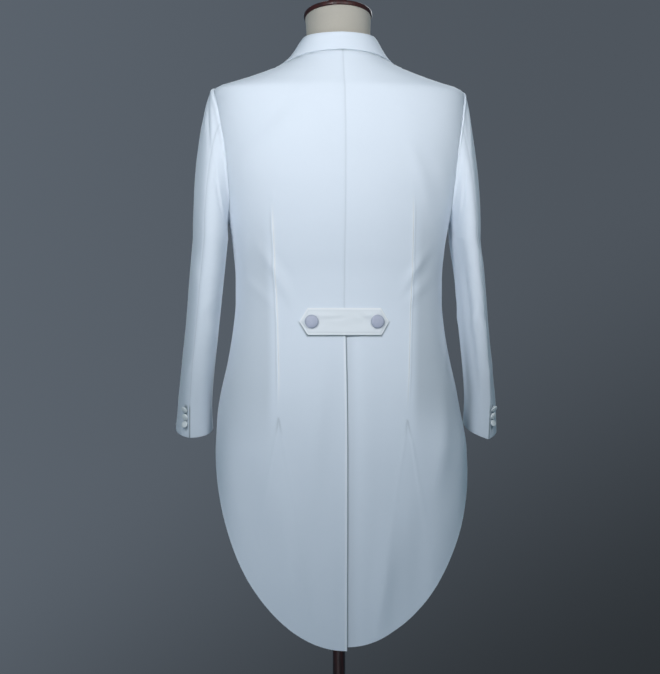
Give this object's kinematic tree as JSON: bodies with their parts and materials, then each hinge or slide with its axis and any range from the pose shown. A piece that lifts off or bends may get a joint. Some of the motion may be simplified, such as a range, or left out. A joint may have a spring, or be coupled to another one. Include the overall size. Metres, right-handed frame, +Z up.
{
  "type": "tailcoat on dress form",
  "caption": "White tailcoat with rounded tails, centre vent and buttoned back belt, worn by a limbless dress form on a round stand.",
  "frame": {"origin": "centre of the stand's base on the floor", "axes": "+Z up, -Y the coat's front, +Y its back, +X the wearer's left"},
  "size_m": [0.5681, 0.38, 1.6164],
  "materials": {
    "coat_cloth": "smooth white suiting, faint sheen",
    "button_satin": "grey-lilac satin cover",
    "form_linen": "beige linen cover",
    "lacquered_wood": "dark red-brown gloss lacquer"
  },
  "bodies": {
    "root": {"back_left": "coat_cloth", "back_right": "coat_cloth", "front_left": "coat_cloth", "front_right": "coat_cloth", "collar": "coat_cloth", "lapel_left": "coat_cloth", "lapel_right": "coat_cloth", "sleeve_upper_left": "coat_cloth", "sleeve_upper_right": "coat_cloth", "sleeve_under_left": "coat_cloth", "sleeve_under_right": "coat_cloth", "back_belt": "coat_cloth", "belt_button_left": "button_satin", "belt_button_right": "button_satin", "waist_button": "button_satin", "cuff_button_left_1": "button_satin", "cuff_button_left_2": "button_satin", "cuff_button_left_3": "button_satin", "cuff_button_right_1": "button_satin", "cuff_button_right_2": "button_satin", "cuff_button_right_3": "button_satin", "form_torso": "form_linen", "neck_cap": "lacquered_wood", "neck_knob": "lacquered_wood", "stand_pole": "lacquered_wood", "stand_base": "lacquered_wood"}
  },
  "joints": []
}
